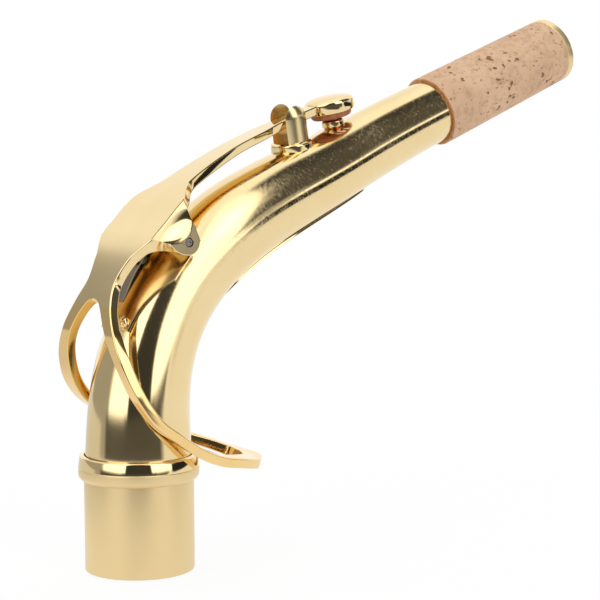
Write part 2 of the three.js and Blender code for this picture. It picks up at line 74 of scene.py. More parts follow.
def curve_through(points, t):
    """Centripetal Catmull-Rom curve: t runs from 0 to 1 over the points, an equal share for each span."""
    points, t = np.asarray(points, float), np.asarray(t, float)
    padded = np.vstack([2 * points[0] - points[1], points, 2 * points[-1] - points[-2]])
    place = np.clip(t, 0, 1) * (len(points) - 1)
    i = np.minimum(place.astype(int), len(points) - 2)
    w = (place - i)[..., None]
    a, b, c, d = (padded[i + k] for k in range(4))
    gaps = [np.sqrt(np.linalg.norm(q - p, axis=-1, keepdims=True)) for p, q in ((a, b), (b, c), (c, d))]
    g1 = np.where(gaps[1] < 1e-4, 1, gaps[1])
    g0, g2 = (np.where(g < 1e-4, g1, g) for g in (gaps[0], gaps[2]))
    m1 = ((b - a) / g0 - (c - a) / (g0 + g1) + (c - b) / g1) * g1
    m2 = ((c - b) / g1 - (d - b) / (g1 + g2) + (d - c) / g2) * g1
    return b + m1 * w + (3 * (c - b) - 2 * m1 - m2) * w**2 + (2 * (b - c) + m1 + m2) * w**3


axis_station = np.linspace(0, TUBE_LENGTH, 671)
axis_step = axis_station[1]
middle = (axis_station[1:] + axis_station[:-1]) / 2
curvature = np.interp(middle / NECK_RUN, *BEND_TABLE.T) / BEND_RADIUS
axis_heading = np.concatenate([[0], np.cumsum(curvature * axis_step)])
half_way = (axis_heading[1:] + axis_heading[:-1]) / 2
axis_x = np.concatenate([[0], np.cumsum(np.sin(half_way) * axis_step)])
axis_z = COLLAR_TOP + np.concatenate([[0], np.cumsum(np.cos(half_way) * axis_step)])
taper_curve = curve_through(TAPER_TABLE, np.linspace(0, 1, 400))


def neck_frame(station):
    """(point on the axis, direction along it, direction outward from the bend) at each station."""
    station = np.asarray(station, float)
    on = np.clip(station, 0, TUBE_LENGTH)
    heading = np.interp(on, axis_station, axis_heading)
    zero = np.zeros_like(heading)
    along = np.stack([np.sin(heading), zero, np.cos(heading)], -1)
    outward = np.stack([-np.cos(heading), zero, np.sin(heading)], -1)
    point = np.stack([np.interp(on, axis_station, axis_x), zero, np.interp(on, axis_station, axis_z)], -1)
    return point + along * (station - on)[..., None], along, outward


def on_neck(station, rise, side):
    """A point by its station, its rise from the axis and its place to the side."""
    station, rise, side = np.broadcast_arrays(np.asarray(station, float), rise, side)
    point, _, outward = neck_frame(station)
    return point + outward * rise[..., None] + np.array([0, 1, 0]) * side[..., None]


def tube_radius(station):
    """The tube's outer radius: it tapers from base to tip by the table's shares."""
    share = np.interp(np.asarray(station, float) / TUBE_LENGTH, *taper_curve.T)
    return TUBE_TIP + (TUBE_BASE - TUBE_TIP) * share


FULL_ROWS = np.array([[0, 0], [30, 0.12], [36, 0.35], [40, 0.55], [44, 0.85], [48, 1.15], [52, 1.45],
                      [56, 1.66], [62, 1.78], [68, 1.7], [74, 1.56], [79, 1.3], [84, 1.02], [90, 0.72],
                      [95, 0.5], [102, 0.38], [108, 0.28], [116, 0.14], [124, 0.03], [130, 0], [200, 0]])
full_at = np.linspace(-20, 190, 841)
bell = np.hanning(83)[1:-1] / 41
full_curve = np.convolve(np.interp(full_at, *FULL_ROWS.T), bell, "same")[40:801]
full_at = full_at[40:801]


def fullness(station):
    """How much the skin's radius grows over the taper table's, in mm; its axis moves outward by as much.

    So the bend's inner line stays and its outer line moves out by twice this, as the photograph shows
    it. It is the rows joined by straight lines and evened out by a bell curve 20 mm wide."""
    return np.interp(station, full_at, full_curve)


def on_skin(station, angle, lift):
    """A point over the tube's own skin: the circle of radius r + fullness + lift about a shifted axis."""
    full = fullness(station)
    r = tube_radius(station) + full + lift
    return on_neck(station, full + r * np.cos(angle), r * np.sin(angle))


def smooth(x):
    """An S curve from 0 to 1."""
    t = np.clip(x, 0, 1)
    return t * t * (3 - 2 * t)


print("the axis ends at", on_neck(TUBE_LENGTH, 0, 0).round(2), "mm")

# %% [markdown]
# ## From grids of points to a mesh
# A piece is one or more grids of points. Each grid gives quads between its neighbours, and corners that
# meet are merged, so that grids close up where they share an edge. The face directions are then made
# to point outward. A grid can carry its own pair of numbers for each point, for patterns that follow
# the surface, and its own material.

# %% Make a piece


def quads_of(rows, columns, keep=None):
    """Corner numbers of the quads of a grid; keep is a mask of the quads, or of the rows, to make."""
    number = np.arange(rows * columns).reshape(rows, columns)
    quads = np.stack([number[:-1, :-1], number[1:, :-1], number[1:, 1:], number[:-1, 1:]], -1)
    return (quads if keep is None else quads[keep]).reshape(-1, 4)


def make_piece(name, grids, finishes, node, body="neck", sharp=40):
    """A grid is points in mm, or (points, material number, pattern coordinates or None, mask or None).

    node is the solid that the piece replaces, and body is what it rides on."""
    corners, quads, pattern, finish, first = [], [], [], [], 0
    for grid in grids:
        points, number, follow, keep = grid if isinstance(grid, tuple) else (grid, 0, None, None)
        rows, columns = points.shape[:2]
        faces = quads_of(rows, columns, keep)
        corners.append(points.reshape(-1, 3))
        quads.append(faces + first)
        follow = np.zeros((rows, columns, 2)) if follow is None else follow
        pattern.append(follow.reshape(-1, 2)[faces].reshape(-1, 2))
        finish.append(np.full(len(faces), number))
        first += rows * columns
    corners, quads = np.vstack(corners) * MM, np.vstack(quads)
    mesh = bpy.data.meshes.new(name)
    mesh.from_pydata(corners.tolist(), [], quads.tolist())
    mesh.polygons.foreach_set("material_index", np.concatenate(finish).astype(np.int32))
    mesh.uv_layers.new(name="follow").data.foreach_set("uv", np.vstack(pattern).ravel())
    mesh.update(calc_edges=True)
    loose = bmesh.new()
    loose.from_mesh(mesh)
    bmesh.ops.remove_doubles(loose, verts=loose.verts, dist=2e-6)
    bmesh.ops.dissolve_degenerate(loose, edges=loose.edges, dist=1e-7)
    bmesh.ops.recalc_face_normals(loose, faces=loose.faces)
    open_edges = sum(1 for edge in loose.edges if not edge.is_manifold)
    loose.to_mesh(mesh)
    loose.free()
    for material in finishes:
        mesh.materials.append(material)
    mesh.shade_smooth()
    mesh.set_sharp_from_angle(angle=math.radians(sharp))
    piece = bpy.data.objects.new(name, mesh)
    bpy.context.scene.collection.objects.link(piece)
    if body:
        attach(piece, body)
    if node:
        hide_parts(node)
    print(f"{name}: {len(mesh.polygons)} faces, {open_edges} open edges")
    return piece


def parabola(a, b, c, t):
    """From a, towards b, to c as t goes from 0 to 1."""
    return (1 - t) ** 2 * a + 2 * t * (1 - t) * b + t**2 * c


def rounded(rows, radius, steps=4, closed=True):
    """The rows of a profile with each corner turned into a short arc of about that radius.

    Each arc starts and ends one cut before and after its corner, and is a parabola between them."""
    rows = np.asarray(rows, float)
    cuts = np.broadcast_to(np.asarray(radius, float), len(rows))
    before, after = np.roll(rows, 1, 0) - rows, np.roll(rows, -1, 0) - rows
    near, far = np.linalg.norm(before, axis=1), np.linalg.norm(after, axis=1)
    cut = np.minimum(cuts, 0.48 * np.minimum(near, far))[:, None]
    start, end = rows + before / near[:, None] * cut, rows + after / far[:, None] * cut
    t = np.linspace(0, 1, steps + 1)[None, :, None]
    arcs = parabola(start[:, None], rows[:, None], end[:, None], t)
    if not closed:
        arcs[0], arcs[-1] = rows[0], rows[-1]
    line = arcs.reshape(-1, 2)
    return np.vstack([line, line[:1]]) if closed else line


def lathe(rows, around=96):
    """Each (radius, height) row swept round Z."""
    rows = np.asarray(rows, float)
    turn = np.linspace(0, 2 * np.pi, around + 1)
    r, h = rows[:, :1], rows[:, 1:]
    return np.stack([r * np.cos(turn), r * np.sin(turn), h + 0 * turn], -1)


def turned(rows, cuts, around, steps=4, closed=False):
    """The rows with rounded corners, swept round Z."""
    return lathe(rounded(rows, cuts, steps, closed), around)


def bent(grid):
    """A grid turned about Z laid round the neck: its heights are stations."""
    return on_neck(grid[..., 2], -grid[..., 0], grid[..., 1])


def place(grid, station, rise, lean):
    """A grid turned about Z stood on the neck: leaned about Y, at that rise from the axis."""
    point, _, outward = neck_frame(station)
    x, y, z = np.moveaxis(grid, -1, 0)
    c, s = math.cos(lean), math.sin(lean)
    return np.stack([c * x - s * z, y, s * x + c * z], -1) + point + outward * rise


def side_walls(low, high):
    """The four walls between the edges of two grids of the same size."""
    return [np.stack([low[0], high[0]]), np.stack([low[-1], high[-1]]),
            np.stack([low[:, 0], high[:, 0]]), np.stack([low[:, -1], high[:, -1]])]


def soften(piece, width):
    """Rounds the sharp edges of a piece by that width in metres."""
    edge = piece.modifiers.new("soft_edges", "BEVEL")
    edge.width, edge.segments, edge.limit_method, edge.angle_limit = width, 3, "ANGLE", math.radians(40)
    return edge


def strip_pattern(grid):
    """Pattern coordinates in millimetres: the length round each row, and the height or station."""
    rows, columns = grid.shape[:2]
    round_row = np.linalg.norm(np.diff(grid, axis=1), axis=-1)
    walk = np.concatenate([np.zeros((rows, 1)), np.cumsum(round_row, 1)], 1)
    return np.stack([walk, np.broadcast_to(grid[..., 2], (rows, columns))], -1)


# %% [markdown]
# ## Camera
# The photograph looks at the neck from its left and a little from above. The camera's place, its
# direction and its lens come from fitting the tube's outline, so they are plain numbers here.

# %% Camera
camera_data = bpy.data.cameras.new("photo_camera")
camera_data.sensor_width = 36
camera_data.lens = 109.45
camera_data.clip_start = 0.01
camera = bpy.data.objects.new("photo_camera", camera_data)
bpy.context.scene.collection.objects.link(camera)
eye = Vector((-0.216136, -0.340674, 0.100044))
forward = Vector((0.606217, 0.789144, -0.098758)).normalized()
roll = math.radians(-0.24)
level_right = forward.cross(Vector((0, 0, 1))).normalized()
level_up = level_right.cross(forward)
right = math.cos(roll) * level_right + math.sin(roll) * level_up
up = right.cross(forward)
camera.matrix_world = Matrix.Translation(eye) @ Matrix((right, up, -forward)).transposed().to_4x4()
bpy.context.scene.camera = camera
print("camera lens", camera_data.lens, "mm")

# %% [markdown]
# ## Light and stage
# Polished metal shows the room more than its own colour. A product studio hangs a few bright panels and
# a few black ones round the piece, and the dark ones draw the bands that make a tube look round. Here
# the world is that studio: plain white, brighter towards the panels, dark where the black ones hang.
# The camera itself sees plain white.

# %% World
bpy.context.scene.view_settings.view_transform = "Standard"
world = bpy.data.worlds.new("studio")
bpy.context.scene.world = world
world.use_nodes = True
tree = world.node_tree
tree.nodes.clear()


def add_node(tree, kind, inputs=(), **settings):
    """A shader node; inputs gives each of its sockets a value or another node's output."""
    node = tree.nodes.new("ShaderNode" + kind)
    for name, value in settings.items():
        setattr(node, name, value)
    for socket, value in dict(inputs).items():
        if isinstance(value, bpy.types.NodeSocket):
            tree.links.new(value, node.inputs[socket])
        else:
            node.inputs[socket].default_value = value
    return node


def calc(tree, operation, *values):
    """One Math node; each value is a number or another node's output."""
    return add_node(tree, "Math", enumerate(values), operation=operation).outputs[0]


def ramp_node(tree, value, start, end):
    """0 before start, 1 after end, and a smooth rise between."""
    return add_node(tree, "MapRange", {"From Min": start, "From Max": end, "Value": value},
                    interpolation_type="SMOOTHSTEP").outputs["Result"]


def band_node(tree, value, a, b, c, d):
    """0 before a, 1 from b to c and 0 after d, with a smooth rise and fall between."""
    return calc(tree, "MULTIPLY", ramp_node(tree, value, a, b),
                calc(tree, "SUBTRACT", 1.0, ramp_node(tree, value, c, d)))


def bearing_node(tree, x, y):
    """The direction round Z in degrees, 0 towards -Y and 90 towards X: the angle whose tangent is x / -y."""
    return calc(tree, "DEGREES", calc(tree, "ARCTAN2", x, calc(tree, "MULTIPLY", y, -1.0)))


def color_mix(tree, share, dark, light):
    """A colour between dark (share 0) and light (share 1)."""
    dark, light = ((*color, 1) if isinstance(color, tuple) else color for color in (dark, light))
    return add_node(tree, "Mix", {"Factor": share, 6: dark, 7: light}, data_type="RGBA").outputs[2]


x, y, z = add_node(tree, "SeparateXYZ", {0: add_node(tree, "TexCoord").outputs["Generated"]}).outputs
azimuth = bearing_node(tree, x, y)
elevation = calc(tree, "DEGREES", calc(tree, "ARCSINE", z))


def panel(level, brightness, azimuths, elevations, lean=0.0):
    """A panel of the studio: azimuths and elevations are (fade in from, to, fade out from, to).

    lean is how far its upright edges move, in degrees of azimuth for each degree of elevation."""
    slanted = calc(tree, "MULTIPLY_ADD", elevation, -lean, azimuth)
    mask = calc(tree, "MULTIPLY", band_node(tree, slanted, *azimuths),
                band_node(tree, elevation, *elevations))
    change = calc(tree, "SUBTRACT", brightness, level)
    return calc(tree, "MULTIPLY_ADD", mask, change, level)


ALL_ROUND = (-400, -390, 390, 400)
PANELS = (
    (1.3, ALL_ROUND, (45, 75, 100, 110)),                       # the bright ceiling
    (0.05, (-68, -62, -2, 4), (-12, -9, 42, 58)),               # black gap where the camera stands
    (1.9, (-106, -102, -61, -57), (0, 3, 52, 74), 0.2),         # left softbox
    (1.9, (-9, -5, 40, 50), (0, 3, 56, 90), -0.3),              # right softbox
    (2.4, (-12, 0, 10, 20), (22, 36, 50, 62)),                  # its brightest part
    (0.42, (-176, -164, -110, -101), (-14, -8, 20, 42)),        # a grey wall behind the plate
    (0.1, (-114, -106, 22, 30), (-100, -98, -1, 2.5)),          # the dark room beyond the table
    (0.09, (20.5, 24.5, 64, 88), (8, 13, 70, 79)),              # large black panel
    (0.05, (30, 46, 64, 88), (30, 60, 70, 79)),                 # its darker top
    (0.5, (26, 29, 34, 38), (5, 7, 14, 17)),                    # a gap of light under it
    (0.025, (31, 34.5, 84, 106), (-100, -98, 5, 7)),            # the dark room under it
    (1.0, (22, 30, 36, 39), (-100, -98, -2, 0)),                # a strip of light low down
)
level = 1.1
for entry in PANELS:
    level = panel(level, *entry)

seen = calc(tree, "SUBTRACT", 1.0, add_node(tree, "LightPath").outputs["Is Camera Ray"])
strength = calc(tree, "MULTIPLY_ADD", calc(tree, "SUBTRACT", level, 1.0), seen, 1.0)
background = add_node(tree, "Background", {"Color": (1, 1, 1, 1), "Strength": strength})
add_node(tree, "OutputWorld", {"Surface": background.outputs[0]})
print("studio panels in the world:", len(PANELS))

# %% [markdown]
# ## Table
# The table is white paper. In the real studio it is small and ends near the camera, and the polished
# tube shows the dark room beyond its edge. So for reflections the paper ends at that edge too.

# %% Floor
FLOOR_HALF, FLOOR_DOWN = 3, -0.0004
TABLE_NEAR, TABLE_FAR = 0.25, 1.05
FRONT = (-130, -115, 12, 28)                       # the bearings over which the near edge comes and goes
SHADE_FROM, SHADE_TO, SHADE = 0.04, 0.14, -0.24    # the paper behind the neck reflects a little darker
GLOW = 0.93                                        # the share of its brightness that is even, without shadows
floor_mesh = bpy.data.meshes.new("floor")
corners = [(x * FLOOR_HALF, y * FLOOR_HALF, FLOOR_DOWN) for x, y in ((-1, -1), (1, -1), (1, 1), (-1, 1))]
floor_mesh.from_pydata(corners, [], [(0, 1, 2, 3)])
floor = bpy.data.objects.new("floor", floor_mesh)
bpy.context.scene.collection.objects.link(floor)
paper = bpy.data.materials.new("white_paper")
paper.use_nodes = True
tree = paper.node_tree
tree.nodes.clear()
rays = add_node(tree, "LightPath").outputs
px, py, _ = add_node(tree, "SeparateXYZ", {0: add_node(tree, "TexCoord").outputs["Object"]}).outputs
reach = calc(tree, "SQRT", calc(tree, "MULTIPLY_ADD", px, px, calc(tree, "MULTIPLY", py, py)))
past = calc(tree, "MULTIPLY", band_node(tree, bearing_node(tree, px, py), *FRONT),
            ramp_node(tree, reach, TABLE_NEAR - 0.04, TABLE_NEAR + 0.03))
beyond = calc(tree, "MAXIMUM", past, ramp_node(tree, reach, TABLE_FAR - 0.1, TABLE_FAR + 0.1))
behind = calc(tree, "MULTIPLY_ADD", px, -0.5, calc(tree, "MULTIPLY", py, 0.866))
wide = calc(tree, "MAXIMUM", rays["Is Camera Ray"], rays["Is Glossy Ray"])
shade = calc(tree, "MULTIPLY", ramp_node(tree, behind, SHADE_FROM, SHADE_TO), rays["Is Glossy Ray"])
lit = add_node(tree, "BsdfDiffuse", {"Color": (0.9, 0.9, 0.9, 1)})
glow = add_node(tree, "Emission", {"Strength": calc(tree, "MULTIPLY_ADD", shade, SHADE, 1.0)})
clear = add_node(tree, "BsdfTransparent")
mix = add_node(tree, "MixShader", {0: calc(tree, "MULTIPLY", wide, GLOW), 1: lit.outputs[0],
                                   2: glow.outputs[0]})
cut_off = add_node(tree, "MixShader", {0: calc(tree, "MULTIPLY", beyond, rays["Is Glossy Ray"]),
                                       1: mix.outputs[0], 2: clear.outputs[0]})
add_node(tree, "OutputMaterial", {"Surface": cut_off.outputs[0]})
floor_mesh.materials.append(paper)
print("the table ends", TABLE_NEAR, "m before the neck, in reflections")

# %% [markdown]
# ## Finishes
# Lacquered brass is a metal with a gold colour and a little roughness. Fine marks from buffing run
# round the tube: a stretched noise in the bump scatters bright flecks into the dark bands, and scuffs
# dull it in patches. The tenon is left satin, with a coarser grain. Cork is a flat tan with darker pores.

# %% Finish helpers


def new_finish(name, color, metallic, roughness):
    """A material with one Principled shader: returns (material, tree, shader)."""
    material = bpy.data.materials.new(name)
    material.use_nodes = True
    shader = material.node_tree.nodes["Principled BSDF"]
    for socket, value in (("Base Color", (*color, 1)), ("Metallic", metallic), ("Roughness", roughness)):
        shader.inputs[socket].default_value = value
    return material, material.node_tree, shader


def pattern(tree, source, scale, turn=(0, 0, 0)):
    """Object or UV coordinates, stretched by scale (per metre for Object, per millimetre for UV)."""
    coordinates = add_node(tree, "TexCoord").outputs[source]
    scale = scale if isinstance(scale, tuple) else (scale, scale, scale)
    return add_node(tree, "Mapping", {"Scale": scale, "Rotation": turn, "Vector": coordinates}).outputs[0]


def noise(tree, scale, detail=3.0, roughness=0.5, turn=(0, 0, 0), source="Object"):
    """A noise from 0 to 1 over coordinates stretched by scale."""
    where = pattern(tree, source, scale, turn)
    return add_node(tree, "TexNoise", {"Scale": 1.0, "Detail": detail, "Roughness": roughness,
                                       "Vector": where}).outputs["Fac"]


def spread(tree, value, low, high, from_low=0.3, from_high=0.7):
    """The value from from_low..from_high moved to low..high."""
    return add_node(tree, "MapRange", {"From Min": from_low, "From Max": from_high, "To Min": low,
                                       "To Max": high, "Value": value}).outputs["Result"]


def bump(tree, shader, height, distance):
    """A height in metres, as distance times the value, bends the shader's normals."""
    node = add_node(tree, "Bump", {"Strength": 1.0, "Distance": distance, "Height": height})
    tree.links.new(node.outputs["Normal"], shader.inputs["Normal"])


def paint(tree, shader, share, dark, light):
    """Gives the shader a colour between dark and light."""
    tree.links.new(color_mix(tree, share, dark, light), shader.inputs["Base Color"])


MICRON = 0.000001
GOLD = (0.85, 0.675, 0.37)
GOLD_DEEP = (0.82, 0.635, 0.33)
GOLD_EDGE = (0.84, 0.60, 0.26)
# A darker, more orange gold for surfaces under the key and inside the guide's slot: painted shade.
GOLD_SHADED = (0.78, 0.52, 0.20)


def brass_finish(name, scale, mark_depth, roughness, light=GOLD, deep=GOLD_DEEP, source="Object"):
    """Lacquered brass: buffing marks along the short side of scale, and a cloud in colour and gloss."""
    material, tree, shader = new_finish(name, light, 1.0, roughness[0])
    cloud = noise(tree, 90, 2.0)
    paint(tree, shader, spread(tree, cloud, 0, 1), deep, light)
    tree.links.new(spread(tree, cloud, *roughness), shader.inputs["Roughness"])
    marks = noise(tree, scale, 4.0, 0.6, (0, 0, 0.35), source)
    bump(tree, shader, marks, mark_depth)
    return material


SCUFFED = 0.26      # how much rougher the tube is where it is scuffed most
brass_tube, tree, shader = new_finish("lacquered_brass_tube", GOLD, 1.0, 0.05)
cloud = noise(tree, 90, 2.0)
paint(tree, shader, spread(tree, cloud, 0, 1), GOLD_DEEP, GOLD)
fine = noise(tree, (0.9, 6.0, 1.0), 4.0, 0.6, (0, 0, 0.35), "UV")
rubbed = noise(tree, (0.8, 5.5, 1.0), 3.0, 0.65, (0, 0, 0.25), "UV")
flecks = spread(tree, rubbed, 0, 1, 0.49, 0.72)
along = add_node(tree, "SeparateXYZ", {0: pattern(tree, "UV", 1)}).outputs[1]
upper = ramp_node(tree, along, 10.0, 60.0)      # the lower end of the tube is scuffed less
scuffs = calc(tree, "MULTIPLY", flecks, upper)
gloss = spread(tree, cloud, 0.06, 0.1)
tree.links.new(calc(tree, "MULTIPLY_ADD", scuffs, SCUFFED, gloss), shader.inputs["Roughness"])
marks = calc(tree, "MULTIPLY_ADD", flecks, 0.8, calc(tree, "MULTIPLY", fine, 0.5))
depth = calc(tree, "MULTIPLY_ADD", upper, 0.75, 0.25)
bump(tree, shader, calc(tree, "MULTIPLY", marks, depth), 2.8 * MICRON)

FINE = (900, 900, 2500)
brass_key = brass_finish("lacquered_brass_key", FINE, 0.6 * MICRON, (0.05, 0.08))
brass_bright = brass_finish("lacquered_brass_bright", (1500, 1500, 3000), 0.3 * MICRON, (0.04, 0.06))
brass_edge = brass_finish("lacquered_brass_edge", FINE, 1.2 * MICRON, (0.1, 0.14),
                          GOLD_EDGE, (0.78, 0.53, 0.21))
brass_ring = brass_finish("lacquered_brass_ring", FINE, 0.6 * MICRON, (0.08, 0.12),
                          (0.90, 0.65, 0.29), (0.86, 0.60, 0.26))
# Darker, rougher brass for the saddle under the key and the walls of the guide's slot: painted shade.
brass_painted_shade = brass_finish("brass_in_painted_shade", (700, 700, 1500), 1.2 * MICRON, (0.2, 0.27),
                           GOLD_SHADED, (0.66, 0.40, 0.13))
brass_satin = brass_finish("satin_brass", (0.7, 9.0, 1.0), 10 * MICRON, (0.3, 0.36), (0.84, 0.65, 0.345),
                           source="UV")
# A dark, rough brass for a thin strip along the crease between plate and flank: painted shade.
crease_painted_shade = brass_finish("crease_shadow", 2000, 10 * MICRON, (0.4, 0.5),
                            (0.16, 0.11, 0.045), (0.09, 0.06, 0.025))
brass_soft = brass_finish("soft_brass", FINE, 1.2 * MICRON, (0.2, 0.26))
# A darker, redder brass for the pip's foot and waist under the cup: painted shade in place of the reflections
# they lose there.
brass_pip_painted_shade = brass_finish("reddish_brass", 900, 0.6 * MICRON, (0.14, 0.22),
                         (0.72, 0.42, 0.22), (0.60, 0.31, 0.14))
ear_satin = brass_finish("worn_brass", 1600, 20 * MICRON, (0.32, 0.45),
                         (0.52, 0.42, 0.25), (0.38, 0.30, 0.17))
print("brass finishes:", 11)

# %% Cork, steel and leather
cork_skin, tree, shader = new_finish("cork_sheet", (0.66, 0.42, 0.25), 0.0, 0.85)
grain = noise(tree, 520, 4.0, 0.6)
cloud = noise(tree, 70, 3.0)
body_color = color_mix(tree, spread(tree, cloud, 0, 1), (0.61, 0.385, 0.235), (0.73, 0.49, 0.315))
body_color = color_mix(tree, spread(tree, grain, 0.45, 1.0, 0.32, 0.52), (0.44, 0.25, 0.14), body_color)
specks = noise(tree, (900, 900, 1300), 2.0, 0.5, (0.3, 0.2, 0))
speck_mask = spread(tree, specks, 0, 0.75, 0.64, 0.69)
body_color = color_mix(tree, speck_mask, body_color, (0.32, 0.155, 0.075))
patches = spread(tree, noise(tree, 110, 1.0), 0.0, 0.085, 0.45, 0.62)
pores = calc(tree, "ADD", noise(tree, (400, 400, 560), 2.5, 0.55, (0, 0.4, 0.3)), patches)
pore_mask = spread(tree, pores, 0, 1, 0.685, 0.73)
paint(tree, shader, pore_mask, body_color, (0.24, 0.11, 0.055))
pits = calc(tree, "MAXIMUM", pore_mask, calc(tree, "MULTIPLY", speck_mask, 0.5))
bump(tree, shader, calc(tree, "SUBTRACT", grain, pits), 80 * MICRON)

cork_cut, tree, shader = new_finish("cork_cut_edge", (0.5, 0.22, 0.08), 0.0, 0.8)
grain = noise(tree, 900, 3.0)
paint(tree, shader, spread(tree, grain, 0, 1), (0.36, 0.15, 0.05), (0.62, 0.30, 0.12))
bump(tree, shader, grain, 60 * MICRON)

steel_blue, tree, shader = new_finish("spring_steel", (0.27, 0.255, 0.25), 1.0, 0.3)
streak = noise(tree, (3000, 600, 600), 2.0)
tree.links.new(spread(tree, streak, 0.24, 0.4), shader.inputs["Roughness"])
bump(tree, shader, streak, 3 * MICRON)

leather, tree, shader = new_finish("pad_leather", (0.42, 0.13, 0.05), 0.0, 0.6)
grain = noise(tree, 1500, 3.0)
paint(tree, shader, spread(tree, grain, 0, 1), (0.32, 0.09, 0.035), (0.5, 0.17, 0.07))
bump(tree, shader, grain, 30 * MICRON)
print("other finishes:", 4)

# %% [markdown]
# ## The tube
# The outer skin and the bore are two grids round the bent axis, joined at both ends. The drill for the
# vent goes through the wall from outside, as on the real tube. Between 35 and 115 mm the skin follows the
# photograph's outline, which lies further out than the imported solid's on the outer side of the bend.

# %% Tube
VENT_STATION, VENT_LEAN, VENT_BORE = 0.7647 * NECK_RUN, 0.25, 1.1
TUBE_SEAT = 2.6
stations = np.linspace(-TUBE_SEAT, TUBE_LENGTH, 300)
outer = np.stack([tube_radius(stations) + fullness(stations), stations], 1)
inner = (outer - [TUBE_WALL, 0])[::-1]
flat = lathe(np.vstack([outer, inner, outer[:1]]), 144)
laid = on_neck(flat[..., 2], fullness(flat[..., 2]) - flat[..., 0], flat[..., 1])
tube = make_piece("neck_tube_skin", [(laid, 0, strip_pattern(flat), None)], [brass_tube], "neck_tube",
                  sharp=50)


def drill(piece, grid):
    """Cuts a closed grid of points out of the piece."""
    tool = make_piece(piece.name + "_drill", [grid], [], None, None)
    cut = piece.modifiers.new("drill", "BOOLEAN")
    cut.operation, cut.solver, cut.object = "DIFFERENCE", "EXACT", tool
    bpy.context.view_layer.update()
    done = bpy.data.meshes.new_from_object(piece.evaluated_get(bpy.context.evaluated_depsgraph_get()))
    piece.modifiers.clear()
    old, piece.data = piece.data, done
    done.name = piece.name
    bpy.data.meshes.remove(old)
    bpy.data.objects.remove(tool)
    print(f"{piece.name}: drilled, {len(done.polygons)} faces")


DRILL_IN, DRILL_OUT = 7.4, 3.0
rod = lathe([[0, -DRILL_IN], [VENT_BORE, -DRILL_IN], [VENT_BORE, DRILL_OUT], [0, DRILL_OUT]], 32)
drill(tube, place(rod, VENT_STATION, tube_radius(VENT_STATION), VENT_LEAN)
      + np.array([math.sin(VENT_LEAN), 0, -math.cos(VENT_LEAN)]) * -DRILL_OUT)

# %% [markdown]
# ## Tenon and collar
# Both are turned on a lathe. Their corners are rounded a little, because a real edge catches a thin line
# of light. The collar's upper band is polished and the lower one is satin like the tenon.

# %% Tenon and collar
TENON_R, TENON_WALL, TENON_SEAT = 12.25, 0.85, 22.8
sleeve = turned([[TENON_R - TENON_WALL, 0], [TENON_R, 0], [TENON_R, TENON_SEAT],
                 [TENON_R - TENON_WALL, TENON_SEAT]], [0.2, 0.3, 0.05, 0.05], 160, closed=True)
make_piece("tenon_sleeve_skin", [(sleeve, 0, strip_pattern(sleeve), None)], [brass_satin], "tenon_sleeve")

COLLAR_R, COLLAR_FOOT, BAND_FOOT, BAND_TAPER = 13.5, 20.5, 23.2, 0.34
collar_rows = rounded([
    [12.5, COLLAR_FOOT], [12.8, COLLAR_FOOT], [COLLAR_R - 0.05, COLLAR_FOOT + 0.8],
    [COLLAR_R, BAND_FOOT - 0.1],
    [COLLAR_R - 0.08, BAND_FOOT], [COLLAR_R, BAND_FOOT + 0.1], [COLLAR_R - BAND_TAPER, COLLAR_TOP - 0.25],
    [COLLAR_R - BAND_TAPER - 0.25, COLLAR_TOP], [12.15, COLLAR_TOP], [12.15, 23.4], [11.15, 23.4],
    [11.15, TENON_SEAT], [12.5, TENON_SEAT]],
    [0.05, 0.25, 0.3, 0.04, 0.03, 0.04, 0.12, 0.12, 0.1, 0.05, 0.05, 0.05, 0.05])
collar = lathe(collar_rows, 160)
band = (collar_rows[:-1, 1] < BAND_FOOT + 0.01) & (collar_rows[:-1, 0] > 12.6)
follow = strip_pattern(collar)
make_piece("tenon_collar_skin", [(collar, 0, follow, ~band), (collar, 1, follow, band)],
           [brass_bright, brass_satin], "tenon_collar")

# %% [markdown]
# ## Mouthpiece cork and end ring
# The cork is a sheet glued round the tube. Its cut edge shows as a darker orange rim. The ring at the very
# end protects it.

# %% Cork and end ring
CORK_WALL, GLUE = 0.85, 0.25
cork_at = np.linspace(NECK_RUN, TUBE_LENGTH - 0.9, 40)
cork_outer = tube_radius(cork_at) + CORK_WALL + GLUE / 2
skin = np.stack([cork_outer, cork_at], 1)
turn = np.linspace(0, np.pi / 2, 9)
shoulder = np.stack([cork_outer[-1] - 0.75 * (1 - np.cos(turn)), TUBE_LENGTH - 0.85 + 0.85 * np.sin(turn)], 1)
skin = np.vstack([[cork_outer[0] - 0.3, cork_at[0]], [cork_outer[0] - 0.08, cork_at[0] + 0.08],
                  [cork_outer[0], cork_at[0] + 0.3], skin[1:-1], shoulder])
back = np.stack([tube_radius(cork_at) + GLUE / 4, cork_at], 1)[::-1]
profile = np.vstack([skin, back, skin[:1]])
cork = lathe(profile, 128)
rim = np.arange(len(profile) - 1) == len(profile) - 2
follow = strip_pattern(cork)
make_piece("mouthpiece_cork_sheet", [(bent(cork), 0, follow, ~rim), (bent(cork), 1, follow, rim)],
           [cork_skin, cork_cut], "mouthpiece_cork")

RING_FROM, RING_TO, RING_IN = TUBE_LENGTH - 0.55, TUBE_LENGTH + 1.45, 6.65
ring_out = cork_outer[-1] + 0.02
end_ring = turned([[ring_out, RING_FROM], [ring_out, RING_TO], [RING_IN, RING_TO], [RING_IN, RING_FROM]],
                  [0.15, 0.4, 0.2, 0.1], 128, closed=True)
make_piece("mouthpiece_end_ring_skin", [(bent(end_ring), 0, strip_pattern(end_ring), None)], [brass_satin],
           "mouthpiece_end_ring")

# %% [markdown]
# ## Vent pip, cup and pad
# The pip is a small chimney with a bead, drilled through. The cup above it is a shallow bowl with a domed
# top, and a leather pad sits in it.

